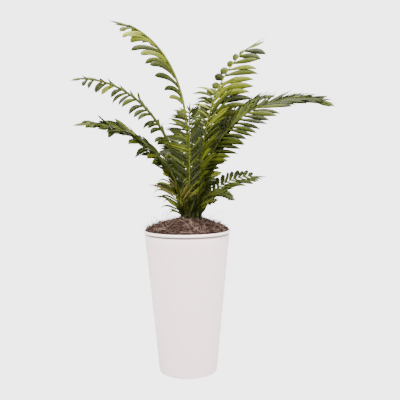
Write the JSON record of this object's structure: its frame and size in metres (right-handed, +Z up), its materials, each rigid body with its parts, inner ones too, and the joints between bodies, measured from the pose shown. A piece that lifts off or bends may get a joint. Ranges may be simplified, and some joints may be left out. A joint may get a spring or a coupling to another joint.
{
  "type": "potted areca palm",
  "caption": "Feather-leaved palm with arching fronds rising from one clump in a tall white tapered round planter with a rolled rim and bark mulch.",
  "frame": {"origin": "centre of the planter's flat underside, on the floor", "axes": "+Z up along the planter's axis; +X to the viewer's right and -Y towards the viewer of the plant's front"},
  "size_m": [1.1455, 0.793, 1.5998],
  "materials": {
    "pot_paint": "satin white paint",
    "bark_mulch": "loose shredded bark and fibre",
    "stem": null,
    "frond": null
  },
  "bodies": {
    "root": {"frond_01_lower": "frond", "frond_01_middle": "frond", "frond_01_upper": "frond", "frond_02_lower": "frond", "frond_02_middle": "frond", "frond_02_upper": "frond", "frond_03_lower": "frond", "frond_03_middle": "frond", "frond_03_upper": "frond", "frond_04_lower": "frond", "frond_04_upper": "frond", "frond_05_lower": "frond", "frond_05_upper": "frond", "frond_06_lower": "frond", "frond_06_middle": "frond", "frond_06_upper": "frond", "frond_07_lower": "frond", "frond_07_middle": "frond", "frond_07_upper": "frond", "frond_08_lower": "frond", "frond_08_upper": "frond", "frond_09_lower": "frond", "frond_09_upper": "frond", "frond_10_blade": "frond", "frond_11_blade": "frond", "frond_12_blade": "frond", "frond_13_blade": "frond", "frond_14_lower": "frond", "frond_14_middle": "frond", "frond_14_upper": "frond", "frond_15_lower": "frond", "frond_15_upper": "frond", "frond_16_lower": "frond", "frond_16_middle": "frond", "frond_16_upper": "frond", "frond_17_blade": "frond", "frond_18_lower": "frond", "frond_18_upper": "frond", "frond_19_blade": "frond", "mulch": "bark_mulch", "pot": "pot_paint", "stem": "stem"}
  },
  "joints": []
}
